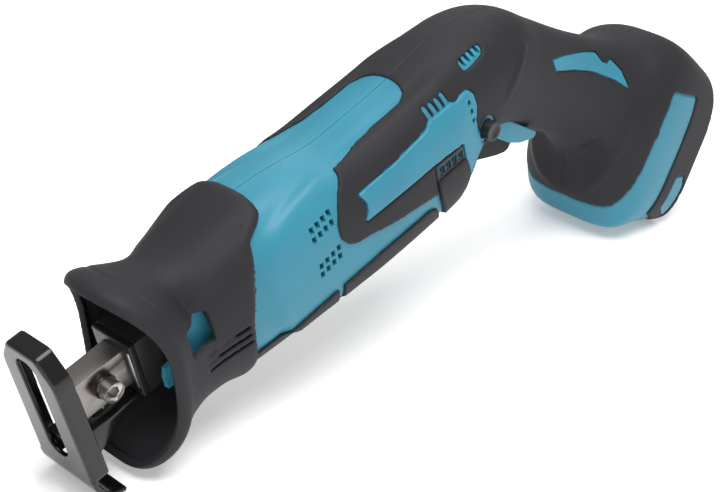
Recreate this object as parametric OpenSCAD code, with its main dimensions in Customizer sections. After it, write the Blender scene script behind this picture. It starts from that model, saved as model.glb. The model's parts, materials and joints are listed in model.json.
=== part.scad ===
// Compact cordless reciprocating saw, bare tool.
// Built in the tool's own frame: +X forward along the stroke, +Y to the left side, +Z up,
// x = 0 at the front face of the black gearbox nose. The pieces are drawn to the pattern
// size; place() then brings the tool to its real size and stands it on the toe of its
// battery foot and the curved lower end of its shoe.

/* [Tool] */
// Real size over pattern size
size_k = 0.86; // [0.82:0.01:1]

/* [Slider] */
// Full stroke of the blade at pattern size
stroke = 15; // [12:0.5:15]
// Width of the slider bar
bar_w = 12; // [10:0.5:14]
// Height of the slider bar
bar_h = 18.6; // [16:0.2:20]
// How far the bar stands out of the nose at mid stroke
bar_out = 27.5; // [24:0.5:29]

/* [Shoe] */
// Width of the shoe's front face at its lower edge
shoe_w = 36; // [32:1:40]
// Top edge of the shoe above the stroke axis
shoe_top = 38; // [34:1:40]
// Lower edge of the front face below the stroke axis
shoe_bottom = 30; // [28:1:32]
// Distance of the shoe's front face from the nose
shoe_x = 39; // [38:0.5:42]
// Thickness of the shoe's steel
shoe_t = 2.8; // [2:0.1:3.2]
// Width of the slot that the blade runs in
slot_w = 10; // [8:0.5:12]

/* [Housing] */
// Wall of the housing halves
wall = 2.6; // [2:0.1:3]
// Thickness of the rubber grips and covers
skin_t = 1.3; // [0.8:0.1:2]

/* [Drive] */
// Teeth on the crank gear
gear_teeth = 40; // [36:4:40]
// Teeth on the motor's pinion
pinion_teeth = 8; // [7:1:8]
// Radius of the motor's can
can_r = 19; // [17:0.5:20]

/* [Controls] */
// Travel of the trigger
trigger_travel = 6; // [4:0.5:8]
// Travel of the lock-off button
lock_travel = 4; // [2:0.5:5]

/* [Hidden] */

teal = [0.20, 0.52, 0.60];
charcoal = [0.17, 0.17, 0.18];
black_paint = [0.05, 0.05, 0.06];
steel = [0.68, 0.67, 0.65];
bright_steel = [0.8, 0.8, 0.8];
copper = [0.72, 0.42, 0.25];
brass = [0.75, 0.62, 0.3];
running = 0.04;
fn_round = 48;

// ---- the two directions of the handle: up its length from the pack, and across it ----
handle_lean = 45;
// Point of the side view at distance across (up and back) and along (down and back).
function across_along(a, l) = [-(a + l) * cos(handle_lean), (a - l) * sin(handle_lean)];

// Sections of the housing, front to back. Each has its top point and its bottom point in
// the side view, its half width, and how square its corners are.
last_section = 18;
sections = [
    [[-14, 23], [-14, -23], 19, 4],
    [[-44, 28], [-38, -27], 22, 3.4],
    [[-72, 34.6], [-43.5, -32.6], 24.3, 3],
    [[-72.6, 37.6], [-43, -35.8], 27.3, 2.9],
    [[-98, 35.6], [-90, -39.5], 29.2, 2.6],
    [[-123, 32], [-120, -40.5], 30, 2.6],
    [[-150, 33], [-150, -40], 30, 2.6],
    [[-176, 34.8], [-178, -38], 29, 2.6],
    [[-206, 38], [-196, -31], 28, 2.5],
    [[-232, 35.5], [-206, -24], 27, 2.4],
    [[-251, 27], [-217, -20.5], 25.5, 2.3],
    [across_along(198, 181), across_along(143, 185), 22, 2.2],
    [across_along(200, 215), across_along(149, 215), 19.5, 2.2],
    [across_along(204, 245), across_along(151, 243), 20.5, 2.2],
    [across_along(209, 268), across_along(142, 265), 26, 2.4],
    [across_along(217, 286), across_along(121, 285), 35, 3],
    [across_along(220, 301), across_along(112, 300), 38, 4],
    [across_along(219, 310), across_along(121, 310), 38, 4.5],
    [across_along(215, 334), across_along(126, 334), 37.5, 5]
];

function mix(a, b, f) = a + (b - a) * f;
function section(s) =
    let (i = min(floor(s), last_section - 1), f = s - i, p = sections[i], q = sections[i + 1])
    [mix(p[0], q[0], f), mix(p[1], q[1], f), mix(p[2], q[2], f), mix(p[3], q[3], f)];

// Point on the housing at section s and angle t (0 top, 90 side, 180 bottom), d outside it.
function skin_point(s, t, d, side) =
    let (q = section(s), mid = (q[0] + q[1]) / 2, half = norm(q[0] - q[1]) / 2,
         up = (q[0] - q[1]) / (2 * half), e = 2 / q[3],
         y = (q[2] + d) * pow(max(sin(t), 0), e),
         h = (half + d) * sign(cos(t)) * pow(abs(cos(t)), e))
    [mid[0] + up[0] * h, side * y, mid[1] + up[1] * h];

// Closed plate that follows the housing from section s0 to s1 and angle t0 to t1,
// between the offsets d0 (inside) and d1 (outside).
module skin_plate(s0, s1, t0, t1, d0, d1, side = 1, ns = 8, nt = 8) {
    function at(i, j, d) =
        skin_point(mix(s0, s1, i / ns), mix(t0, t1, j / nt), d, side);
    layer = (ns + 1) * (nt + 1);
    points = concat(
        [for (i = [0:ns]) for (j = [0:nt]) at(i, j, d1)],
        [for (i = [0:ns]) for (j = [0:nt]) at(i, j, d0)]
    );
    function v(i, j, k) = k * layer + i * (nt + 1) + j;
    function quad(a, b, c, d) = side > 0 ? [[a, b, c], [a, c, d]] : [[c, b, a], [d, c, a]];
    faces = [
        for (i = [0:ns - 1]) for (j = [0:nt - 1])
            each quad(v(i, j, 0), v(i, j + 1, 0), v(i + 1, j + 1, 0), v(i + 1, j, 0)),
        for (i = [0:ns - 1]) for (j = [0:nt - 1])
            each quad(v(i, j, 1), v(i + 1, j, 1), v(i + 1, j + 1, 1), v(i, j + 1, 1)),
        for (i = [0:ns - 1])
            each quad(v(i, 0, 1), v(i, 0, 0), v(i + 1, 0, 0), v(i + 1, 0, 1)),
        for (i = [0:ns - 1])
            each quad(v(i, nt, 0), v(i, nt, 1), v(i + 1, nt, 1), v(i + 1, nt, 0)),
        for (j = [0:nt - 1])
            each quad(v(0, j, 0), v(0, j, 1), v(0, j + 1, 1), v(0, j + 1, 0)),
        for (j = [0:nt - 1])
            each quad(v(ns, j, 1), v(ns, j, 0), v(ns, j + 1, 0), v(ns, j + 1, 1))
    ];
    polyhedron(points, faces);
}

// ---- standing the tool on its toe and shoe ----
toe = sections[last_section][1];
heel = sections[last_section][0];
tongue_r = 15;
tongue = [shoe_x - tongue_r, -shoe_bottom];
pitch = atan2(tongue[1] - toe[1], tongue[0] - toe[0]) - asin(tongue_r / norm(tongue - toe));
function height(p) = p[1] * cos(pitch) - p[0] * sin(pitch);
function reach(p) = p[0] * cos(pitch) + p[1] * sin(pitch);
middle_x = (reach([shoe_x, shoe_top]) + reach(heel)) / 2;
module place() {
    scale(size_k) translate([-middle_x, 0, -height(toe)]) rotate([0, pitch, 0]) children();
}

// ---- plain shapes ----
module rod_x(r, x0, x1) {
    translate([x0, 0, 0]) rotate([0, 90, 0]) cylinder(r = r, h = x1 - x0, $fn = fn_round);
}
module rod_y(r, x, z, y0, y1) {
    translate([x, y0, z]) rotate([-90, 0, 0]) cylinder(r = r, h = y1 - y0, $fn = fn_round);
}
module ring_x(r_in, r_out, x0, x1) {
    difference() {
        rod_x(r_out, x0, x1);
        rod_x(r_in, x0 - 1, x1 + 1);
    }
}
module block(lo, hi) { translate(lo) cube(hi - lo); }
// Block of the handle: w down its length, y across the tool, u up across its depth.
module handle_block(w0, w1, y0, y1, u0, u1) {
    rotate([0, -handle_lean, 0]) block([-w1, y0, u0], [-w0, y1, u1]);
}

// ---- housing ----
lock_x = -205;
lock_z = -3;
lock_r = 4.7;
// where the button's right end comes at full push
lock_out = 31.4;
// Screw bosses: side view position and the reach of the boss from the parting plane.
bosses = [
    [-75, 26, 16.8], [-128, 23, 13.8], [-186, 26, 14.2], [-128, -31, 14.2],
    [across_along(178, 238)[0], across_along(178, 238)[1], 14.8],
    [across_along(205, 318)[0], across_along(205, 318)[1], 29.8]
];
boss_r = 4.2;
screw_r = 1.6;
screw_head_r = 3;

module housing_half(side) {
    color(teal) difference() {
        skin_plate(0, last_section, 0, 180, -wall, 0, side, ns = 36, nt = 18);
        rod_y(lock_r + 0.4, lock_x, lock_z, -50, 50);
        handle_block(172.5, 201.5, -10, 10, 110, switch_u0 + 1);
        if (side < 0)
            for (b = bosses) rod_y(screw_head_r, b[0], b[1], -50, -b[2]);
    }
}
module housing_left() { housing_half(1); }
module housing_right() { housing_half(-1); }

// Posts that the long housing screws run through, from wall to wall.
module screw_posts() {
    color(teal) for (b = bosses) difference() {
        rod_y(boss_r, b[0], b[1], -b[2], b[2]);
        rod_y(screw_r, b[0], b[1], -50, b[2] - 2);
    }
}
module housing_screws() {
    color(steel) for (b = bosses) {
        rod_y(screw_r, b[0], b[1], -b[2], b[2] - 2);
        difference() {
            rod_y(screw_head_r - 0.2, b[0], b[1], -b[2] - 2.2, -b[2]);
            translate([b[0], -b[2] - 2.5, b[1]]) rotate([-90, 0, 0]) cylinder(r = 1.4, h = 1.6, $fn = 6);
        }
    }
}

// Rubber covers on one side of the tool: hump and handle, and the bar above the side panel.
module grip(side) {
    color(charcoal) difference() {
        union() {
            skin_plate(8, 15, 0, 150, 0.03, skin_t, side, ns = 14, nt = 15);
            skin_plate(5.5, 8, 20, 50, 0.03, skin_t, side, ns = 5, nt = 3);
        }
        rod_y(lock_r + 0.4, lock_x, lock_z, -50, 50);
        rod_y(screw_head_r + 0.2, bosses[4][0], bosses[4][1], -50, -5);
        rod_y(screw_head_r + 0.2, bosses[2][0], bosses[2][1], -50, -5);
    }
}
module grip_left() { grip(1); }
module grip_right() { grip(-1); }

module side_panel(side) {
    color(teal) skin_plate(5, 8 - 0.03, 60, 100, 0.03, skin_t, side, ns = 6, nt = 4);
}
module side_panel_left() { side_panel(1); }
module side_panel_right() { side_panel(-1); }

module underside(s0, s1) {
    color(charcoal) for (side = [-1, 1])
        skin_plate(s0, s1, 130, 180, 0.03, skin_t, side, ns = (s1 - s0) * 2, nt = 5);
}
module underside_front() { underside(3.5, 4.5); }
module underside_rear() { underside(5, 7.5); }

module rear_vents() {
    color(charcoal) for (side = [-1, 1])
        skin_plate(6.5, 7.5, 110, 120, 0.03, skin_t, side, ns = 2, nt = 1);
}

module handle_inlays() {
    color(teal) for (side = [-1, 1])
        skin_plate(11, 13, 60, 80, skin_t + 0.02, skin_t + 0.4, side, ns = 4, nt = 2);
}
module foot_band() {
    color(teal) for (side = [-1, 1])
        skin_plate(15.5, 17, 60, 180, 0.03, 0.9, side, ns = 3, nt = 12);
}
module foot_badges() {
    color(teal) for (side = [-1, 1])
        skin_plate(17.5, 18, 110, 140, 0.03, 0.9, side, ns = 1, nt = 3);
}

// ---- rubber boot round the gearbox ----
// Each ring: top point, bottom point, half width, corner power, pull-back of its sides.
boot_wall = 2.4;
boot_rings = [
    [[-71.3, 37.4], [-42.2, -35.6], 27.2, 2.9, 0],
    [[-52, 33.8], [-34, -33], 25.6, 2.8, 0],
    [[-30, 33], [-20, -31.5], 24.6, 2.7, 5],
    [[-14, 36], [-4, -32.5], 25.4, 2.7, 14],
    [[0.5, 41], [13, -36], 28, 2.8, 23]
];
boot_steps = 3;
boot_last = (len(boot_rings) - 1) * boot_steps;
function boot_point(i, t, d) =
    let (s = i / boot_steps, k = min(floor(s), len(boot_rings) - 2), f = s - k,
         p = boot_rings[k], q = boot_rings[k + 1],
         top = mix(p[0], q[0], f), low = mix(p[1], q[1], f), mid = (top + low) / 2,
         half = norm(top - low) / 2, up = (top - low) / (2 * half),
         e = 2 / mix(p[3], q[3], f), pull = mix(p[4], q[4], f),
         y = (mix(p[2], q[2], f) + d) * sign(sin(t)) * pow(abs(sin(t)), e),
         h = (half + d) * sign(cos(t)) * pow(abs(cos(t)), e))
    [mid[0] + up[0] * h - pull * pow(sin(t), 2), y, mid[1] + up[1] * h];

module front_boot() {
    nt = 32;
    layer = (boot_last + 1) * nt;
    points = concat(
        [for (i = [0:boot_last]) for (j = [0:nt - 1]) boot_point(i, j * 360 / nt, 0)],
        [for (i = [0:boot_last]) for (j = [0:nt - 1]) boot_point(i, j * 360 / nt, -boot_wall)]
    );
    function v(i, j, k) = k * layer + i * nt + j % nt;
    faces = [
        for (i = [0:boot_last - 1]) for (j = [0:nt - 1]) each [
            [v(i, j, 0), v(i + 1, j, 0), v(i + 1, j + 1, 0)],
            [v(i, j, 0), v(i + 1, j + 1, 0), v(i, j + 1, 0)],
            [v(i, j, 1), v(i + 1, j + 1, 1), v(i + 1, j, 1)],
            [v(i, j, 1), v(i, j + 1, 1), v(i + 1, j + 1, 1)]
        ],
        for (j = [0:nt - 1]) each [
            [v(0, j, 1), v(0, j, 0), v(0, j + 1, 0)],
            [v(0, j, 1), v(0, j + 1, 0), v(0, j + 1, 1)],
            [v(boot_last, j, 0), v(boot_last, j, 1), v(boot_last, j + 1, 1)],
            [v(boot_last, j, 0), v(boot_last, j + 1, 1), v(boot_last, j + 1, 0)]
        ]
    ];
    color(charcoal) polyhedron(points, faces);
}

// ---- gearbox and slider ----
tube_y = 12;
tube_z = 14;
tube_in_y = 8;
tube_in_z = 11;
tube_rear = -66;
crank_x = -92;
crank_r = stroke / 2;
roller_r = 3.4;
pin_r = 2.2;
guide_gap = 0.06;

module nose_tube() {
    color(black_paint) difference() {
        block([tube_rear, -tube_y, -tube_z], [-3, tube_y, tube_z]);
        block([tube_rear - 1, -tube_in_y, -tube_in_z], [0, tube_in_y, tube_in_z]);
        for (x = shoe_screw_x)
            translate([x, 0, -tube_z - 1]) cylinder(r = shoe_screw_r, h = 4.2, $fn = fn_round);
    }
}
// Plate with a rectangular window for the slider bar.
module bar_plate(x0, x1, y, z, gap) {
    difference() {
        block([x0, -y, -z], [x1, y, z]);
        block([x0 - 1, -bar_w / 2 - gap, -bar_h / 2 - gap], [x1 + 1, bar_w / 2 + gap, bar_h / 2 + gap]);
    }
}
module nose_cover() {
    color(black_paint) difference() {
        bar_plate(-3, 0, tube_y + 1, tube_z + 1, 0.4);
        block([-4, -arm_w - 0.2, arm_top - 5], [1, arm_w + 0.2, arm_top + 0.2]);
    }
}
module dust_seal() { color(charcoal) bar_plate(-5.5, -3, tube_in_y, tube_in_z, 0.15); }
module guide_front() { color(brass) bar_plate(-16, -5.5, tube_in_y, tube_in_z, guide_gap); }
module guide_rear() { color(brass) bar_plate(tube_rear, -54, tube_in_y, tube_in_z, guide_gap); }

bearing_r = 10;
bearing_z0 = -28;
bearing_z1 = -20;
module gear_case() {
    color([0.6, 0.6, 0.62]) difference() {
        union() {
            block([tube_rear - 4, -tube_y, -34], [tube_rear, tube_y, -tube_z + 2]);
            block([crank_x, -tube_y, -34], [tube_rear, tube_y, -30]);
            translate([crank_x, 0, -33]) cylinder(r = bearing_r + 3.5, h = bearing_z1 + 33, $fn = fn_round);
        }
        translate([crank_x, 0, gear_z0 - 0.6]) cylinder(r = gear_r + 0.8, h = 12, $fn = fn_round);
        translate([crank_x, 0, bearing_z0]) cylinder(r = bearing_r, h = 20, $fn = fn_round);
        translate([crank_x, 0, -31]) cylinder(r = 6, h = 20, $fn = fn_round);
    }
}

screw_x = 14;
screw_z = 2;
window_x = crank_r + roller_r + 0.4;
window_y = crank_r + roller_r + 0.5;
yoke_wall = 1.6;
module slider() {
    color(steel) difference() {
        union() {
            block([crank_x + window_x, -bar_w / 2, -bar_h / 2], [bar_out, bar_w / 2, bar_h / 2]);
            block([crank_x - window_x - yoke_wall, -window_y - yoke_wall, -8.4],
                  [crank_x + window_x + yoke_wall, window_y + yoke_wall, 8.4]);
        }
        block([crank_x - window_x, -window_y, -10], [crank_x + window_x, window_y, 10]);
        block([bar_out - 19, -0.8, -7], [bar_out + 1, 0.8, 7]);
        rod_y(screw_shank_r + running, screw_x, screw_z, -3.5, bar_w);
    }
}
screw_shank_r = 2.5;
module clamp_screw() {
    color(bright_steel) difference() {
        union() {
            rod_y(screw_shank_r, screw_x, screw_z, 0.9, bar_w / 2 + 3);
            rod_y(4.8, screw_x, screw_z, bar_w / 2 + 3, bar_w / 2 + 9);
        }
        translate([screw_x, bar_w / 2 + 5.5, screw_z]) rotate([-90, 0, 0]) cylinder(r = 2.7, h = 5, $fn = 6);
    }
}
module clamp_collar() {
    color(bright_steel) difference() {
        rod_y(5.6, screw_x, screw_z, bar_w / 2 + 0.05, bar_w / 2 + 3);
        rod_y(screw_shank_r, screw_x, screw_z, 0, 30);
    }
}

// ---- crank gear ----
hub_r = 5;
gear_r = 24.2;
tooth_r = 21;
tooth_tip_r = gear_r - 0.4;
gear_z0 = -17.3;
gear_z1 = -12.3;
tooth_top = -9.8;
module gear_tooth(i) {
    step = 360 / gear_teeth;
    a = (i + 0.5) * step;
    w = step * 0.17;
    polygon([for (p = [[tooth_r, -w], [tooth_tip_r, -w], [tooth_tip_r, w], [tooth_r, w]])
        p[0] * [cos(a + p[1]), sin(a + p[1])]]);
}
module crank_gear() {
    color(steel) translate([crank_x, 0, 0]) {
        translate([0, 0, gear_z0]) cylinder(r = gear_r, h = gear_z1 - gear_z0, $fn = 72);
        translate([0, 0, bearing_z0 + 0.3]) cylinder(r = hub_r, h = gear_z0 - bearing_z0 - 0.3, $fn = fn_round);
        translate([0, crank_r, gear_z1]) cylinder(r = pin_r, h = 8.6 - gear_z1, $fn = fn_round);
        for (i = [0:gear_teeth - 1])
            translate([0, 0, gear_z1 - 0.5]) linear_extrude(tooth_top - gear_z1 + 0.5) gear_tooth(i);
    }
}
module crank_roller() {
    color(bright_steel) translate([crank_x, crank_r, -8.6]) difference() {
        cylinder(r = roller_r, h = 16, $fn = fn_round);
        translate([0, 0, -1]) cylinder(r = pin_r, h = 18, $fn = fn_round);
    }
}
module crank_bearing() {
    color(bright_steel) translate([crank_x, 0, bearing_z0]) difference() {
        cylinder(r = bearing_r, h = bearing_z1 - bearing_z0, $fn = fn_round);
        translate([0, 0, -1]) cylinder(r = hub_r + running, h = 20, $fn = fn_round);
    }
}

// ---- motor ----
motor_z = -5.4;
shaft_r = 2.5;
pinion_tip = 5.7;
pinion_root = 3.9;
pinion_x0 = crank_x - gear_r;
pinion_x1 = crank_x - tooth_r;
module at_motor() { translate([0, 0, motor_z]) children(); }
module pinion() {
    color(steel) at_motor() difference() {
        union() {
            rod_x(pinion_root, pinion_x0 - 3, pinion_x1);
            for (i = [0:pinion_teeth - 1])
                rotate([i * 360 / pinion_teeth, 0, 0])
                    block([pinion_x0, -0.5, -pinion_tip], [pinion_x1, 0.5, -pinion_root + 0.6]);
        }
        rod_x(shaft_r, pinion_x0 - 4, pinion_x1 + 1);
    }
}
motor_rear = -197;
module motor_shaft() { color(bright_steel) at_motor() rod_x(shaft_r, motor_rear + 1.5, pinion_x1); }
module armature_core() {
    color([0.4, 0.4, 0.42]) at_motor() difference() {
        ring_x(shaft_r, 11.5, -172, -140);
        for (a = [0:30:330])
            rotate([a, 0, 0]) block([-173, -0.8, 8], [-139, 0.8, 12]);
    }
}
module armature_windings() {
    color(copper) at_motor() {
        ring_x(shaft_r, 10.4, -140, -136.5);
        ring_x(shaft_r, 10.4, -176, -172);
    }
}
module commutator() {
    color(copper) at_motor() difference() {
        ring_x(shaft_r, 7, -187, -178);
        for (a = [0:45:315])
            rotate([a, 0, 0]) block([-188, -0.3, 6.2], [-177, 0.3, 8]);
    }
}
module cooling_fan() {
    color([0.25, 0.25, 0.27]) at_motor() {
        ring_x(shaft_r, 5, -127, -120.5);
        ring_x(5, 15.5, -127, -125.6);
        for (a = [0:40:320])
            rotate([a, 0, 0]) block([-126, -0.6, 4.7], [-121.5, 0.6, 15]);
    }
}
module bearing_front() { color(bright_steel) at_motor() ring_x(shaft_r + running, 8, -133.5, -128.5); }
module bearing_rear() { color(bright_steel) at_motor() ring_x(shaft_r + running, 7, -195.2, -190.5); }
module motor_can() {
    color([0.45, 0.46, 0.48]) at_motor() {
        ring_x(can_r - 1.6, can_r, -178, -128.5);
        difference() {
            ring_x(8, can_r - 1.6, -130.5, -128.5);
            for (a = [0:60:300])
                rotate([a, 0, 0]) translate([0, 0, 13]) rod_x(2.4, -132, -127);
        }
    }
}
module stator_magnets() {
    color([0.22, 0.22, 0.23]) at_motor() difference() {
        ring_x(12.3, can_r - 1.6, -174, -138);
        block([-180, -4, -30], [-130, 4, 30]);
    }
}
module motor_end_bell() {
    color(charcoal) at_motor() {
        ring_x(can_r - 2, can_r, motor_rear, -178);
        difference() {
            ring_x(7, can_r - 2, motor_rear, motor_rear + 2.5);
            for (a = [0:60:300])
                rotate([a, 0, 0]) translate([0, 0, 12.5]) rod_x(2.6, motor_rear - 1, motor_rear + 4);
        }
        ring_x(7, 9, motor_rear + 2.5, -189.5);
    }
}
module brush_holders() {
    color(brass) at_motor() for (side = [-1, 1]) difference() {
        block([-186.5, side > 0 ? 8.2 : -16.2, -4.2], [-179.5, side > 0 ? 16.2 : -8.2, 4.2]);
        block([-185.5, -20, -3.2], [-180.5, 20, 3.2]);
    }
}
module carbon_brushes() {
    color([0.15, 0.15, 0.16]) at_motor() for (side = [-1, 1])
        block([-185.5, side > 0 ? 7.15 : -15, -3.2], [-180.5, side > 0 ? 15 : -7.15, 3.2]);
}

// ---- trigger, switch and lock-off ----
trigger_w = 9.2;
switch_u0 = 151;
switch_u1 = 178;
plunger_w = 188;
plunger_r = 2.4;
plunger_u0 = 138;
plunger_len = 17;
module trigger() {
    color([0.2, 0.2, 0.21]) rotate([0, -handle_lean, 0]) difference() {
        translate([0, trigger_w, 0]) rotate([90, 0, 0]) linear_extrude(2 * trigger_w)
            polygon([[-174, 139], [-174, 128], [-177, 125.5], [-184, 128], [-192, 131], [-198, 134],
                     [-200, 136.5], [-200, 143], [-197, 144.5], [-176, 144.5]]);
        translate([-plunger_w, 0, plunger_u0]) cylinder(r = plunger_r, h = plunger_len, $fn = fn_round);
    }
}
module switch_plunger() {
    color(bright_steel) rotate([0, -handle_lean, 0]) translate([-plunger_w, 0, plunger_u0])
        cylinder(r = plunger_r, h = plunger_len, $fn = fn_round);
}
module switch_body() {
    color([0.12, 0.12, 0.13]) rotate([0, -handle_lean, 0]) difference() {
        union() {
            block([-207, -8.5, switch_u0], [-177, 8.5, switch_u1]);
            block([-222, -7, switch_u0 + 8], [-207, 7, switch_u1 - 4]);
        }
        translate([-plunger_w, 0, switch_u0 - 1])
            cylinder(r = plunger_r + running, h = plunger_u0 + plunger_len + trigger_travel + 2.5 - switch_u0,
                     $fn = fn_round);
    }
}
module lock_off_button() {
    color([0.1, 0.1, 0.11]) difference() {
        union() {
            rod_y(lock_r, lock_x, lock_z, lock_travel - lock_out, 32);
            rod_y(lock_r - 0.8, lock_x, lock_z, 32, 32.8);
        }
        rod_y(lock_r + 1, lock_x, lock_z, -6, 6);
    }
    color([0.1, 0.1, 0.11]) rod_y(lock_r - 1.4, lock_x, lock_z, -7, 7);
}

// ---- electrics and battery foot ----
module control_board() {
    color([0.1, 0.35, 0.2]) {
        handle_block(262, 263.6, -14, 14, 160, 196);
        for (u = [164, 176, 188]) handle_block(255, 262, -9, 9, u, u + 6);
    }
}
module terminal_block() { color(charcoal) handle_block(300, 322, -17, 17, 150, 196); }
module terminal_blades() {
    color(brass) {
        for (y = [-11, 11]) handle_block(322, 331, y - 0.6, y + 0.6, 154, 188);
        handle_block(322, 330, -3, -2, 166, 186);
        handle_block(322, 330, 2, 3, 166, 186);
    }
}
module battery_rails() {
    color(charcoal) for (side = [-1, 1]) {
        handle_block(314, 332, side > 0 ? 28 : -31.4, side > 0 ? 31.4 : -28, 134, 200);
        handle_block(329, 332, side > 0 ? 23 : -28, side > 0 ? 28 : -23, 134, 200);
        handle_block(308, 314, side > 0 ? 17 : -31.4, side > 0 ? 31.4 : -17, 150, 196);
    }
}
lead_r = 1.3;
module lead(points) {
    for (i = [0:len(points) - 2]) hull() for (p = [points[i], points[i + 1]])
        translate(p) sphere(r = lead_r, $fn = 12);
}
function in_handle(u, l, y) = let (p = across_along(u, l)) [p[0], y, p[1]];
module power_leads() {
    color([0.6, 0.1, 0.1]) lead([in_handle(166, 224, 4), in_handle(193, 236, 7), in_handle(186, 253, 4)]);
    color([0.12, 0.12, 0.12]) lead([in_handle(166, 224, -4), in_handle(193, 236, -7), in_handle(186, 253, -4)]);
}

// ---- shoe ----
arm_top = -tube_z;
arm_t = 2.6;
arm_w = 9;
shoe_screw_x = [-22, -46];
shoe_screw_r = 2;
module shoe_outline(inset) {
    side = inset / cos(4);
    corner = inset * 0.65;
    polygon([
        [-shoe_w / 2 + side, -shoe_bottom + inset], [shoe_w / 2 - side, -shoe_bottom + inset],
        [shoe_w / 2 - 2 - side, shoe_top - 11 - corner], [9 - corner, shoe_top - inset],
        [-9 + corner, shoe_top - inset], [-shoe_w / 2 + 2 + side, shoe_top - 11 - corner]
    ]);
}
// Stands a drawing of the front view, in Y and Z, upright between two distances along X.
module front_view(x0, x1) {
    translate([x0, 0, 0]) rotate([90, 0, 90]) linear_extrude(x1 - x0) children();
}
slot_low = -22;
slot_high = 33;
module shoe_plate() {
    color(black_paint) {
        difference() {
            union() {
                front_view(shoe_x - shoe_t, shoe_x) shoe_outline(0);
                difference() {
                    front_view(shoe_x - 8, shoe_x - shoe_t) shoe_outline(0);
                    front_view(shoe_x - 9, shoe_x) shoe_outline(shoe_t);
                }
            }
            front_view(shoe_x - 10, shoe_x + 1) {
                for (z = [slot_low + slot_w / 2, slot_high - slot_w / 2])
                    translate([0, z]) circle(d = slot_w, $fn = fn_round);
                translate([-slot_w / 2, slot_low + slot_w / 2])
                    square([slot_w, slot_high - slot_low - slot_w]);
            }
            block([shoe_x - 9, -shoe_w, -shoe_bottom - 1], [shoe_x - shoe_t - 0.1, shoe_w, -shoe_bottom + shoe_t]);
        }
        // The lower end is folded back as a curved tongue.
        translate([0, shoe_w / 2, 0]) rotate([90, 0, 0]) linear_extrude(shoe_w) difference() {
            translate(tongue) circle(r = tongue_r, $fn = 64);
            translate(tongue) circle(r = tongue_r - shoe_t, $fn = 64);
            translate(tongue - [40, 40]) square([40, 80]);
            translate(tongue) square([60, 60]);
        }
    }
}
module shoe_arm() {
    color(black_paint) difference() {
        union() {
            block([-54, -arm_w, arm_top - arm_t], [shoe_x - shoe_t, arm_w, arm_top]);
            for (side = [-1, 1])
                translate([0, side > 0 ? arm_w : -arm_w + arm_t, 0]) rotate([90, 0, 0]) linear_extrude(arm_t)
                    polygon([[6, arm_top - arm_t], [shoe_x - shoe_t, arm_top - arm_t],
                             [shoe_x - shoe_t, -shoe_bottom + 3], [shoe_x - 12, -shoe_bottom + 3]]);
        }
        for (x = shoe_screw_x)
            translate([x, 0, arm_top - 5]) cylinder(r = shoe_screw_r, h = 10, $fn = fn_round);
        translate([18, 0, arm_top - 5]) cylinder(r = 4, h = 10, $fn = fn_round);
    }
}
module shoe_screws() {
    color(steel) for (x = shoe_screw_x) translate([x, 0, arm_top - arm_t]) {
        cylinder(r = shoe_screw_r, h = arm_t + 3, $fn = fn_round);
        translate([0, 0, -2.4]) difference() {
            cylinder(r = 3.6, h = 2.4, $fn = fn_round);
            translate([0, 0, -1]) cylinder(r = 1.7, h = 2.2, $fn = 6);
        }
    }
}

place() housing_left();
place() housing_right();
place() front_boot();
place() gear_case();
place() nose_tube();
place() nose_cover();
place() guide_front();
place() guide_rear();
place() dust_seal();
place() slider();
place() clamp_screw();
place() clamp_collar();
place() crank_gear();
place() crank_roller();
place() crank_bearing();
place() pinion();
place() motor_shaft();
place() armature_core();
place() armature_windings();
place() commutator();
place() cooling_fan();
place() bearing_front();
place() bearing_rear();
place() motor_can();
place() stator_magnets();
place() motor_end_bell();
place() brush_holders();
place() carbon_brushes();
place() trigger();
place() switch_plunger();
place() switch_body();
place() lock_off_button();
place() control_board();
place() terminal_block();
place() terminal_blades();
place() battery_rails();
place() power_leads();
place() housing_screws();
place() screw_posts();
place() shoe_plate();
place() shoe_arm();
place() shoe_screws();
place() grip_left();
place() grip_right();
place() side_panel_left();
place() side_panel_right();
place() handle_inlays();
place() foot_band();
place() foot_badges();
place() underside_front();
place() underside_rear();
place() rear_vents();
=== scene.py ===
"""Looks of the compact reciprocating saw, built piece by piece around its working frame.

Every piece is drawn in the tool's own pattern, in millimetres: X runs forward along the
stroke from the front of the nose, Y to the left side and Z up. The frame's joints say where
that pattern stands, and each finished piece is brought there in metres.
"""

import json
import math

import bmesh
import bpy
from bpy.props import FloatProperty, FloatVectorProperty, IntProperty, PointerProperty
from mathutils import Matrix, Vector


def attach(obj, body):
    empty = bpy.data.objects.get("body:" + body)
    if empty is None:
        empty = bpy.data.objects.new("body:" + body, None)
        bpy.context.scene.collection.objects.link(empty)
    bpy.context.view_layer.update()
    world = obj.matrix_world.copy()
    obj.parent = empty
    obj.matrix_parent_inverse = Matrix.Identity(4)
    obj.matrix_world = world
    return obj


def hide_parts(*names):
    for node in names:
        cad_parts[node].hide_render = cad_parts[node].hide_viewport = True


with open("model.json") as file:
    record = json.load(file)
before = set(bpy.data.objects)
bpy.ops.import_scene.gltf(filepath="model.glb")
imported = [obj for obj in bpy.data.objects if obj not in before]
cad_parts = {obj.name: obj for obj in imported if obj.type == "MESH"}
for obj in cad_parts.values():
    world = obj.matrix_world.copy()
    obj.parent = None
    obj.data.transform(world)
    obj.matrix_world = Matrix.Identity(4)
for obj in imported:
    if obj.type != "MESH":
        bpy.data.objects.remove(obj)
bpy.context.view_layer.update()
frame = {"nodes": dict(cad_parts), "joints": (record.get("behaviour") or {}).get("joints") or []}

bl_info = {
    "name": "Reciprocating Saw",
    "version": (1, 0, 0),
    "blender": (4, 5, 0),
    "location": "View3D > Sidebar > Saw",
    "description": "Builds the housing, grips, boot, shoe and controls of a compact saw",
    "category": "Add Mesh",
}


# ---- settings ----

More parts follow.
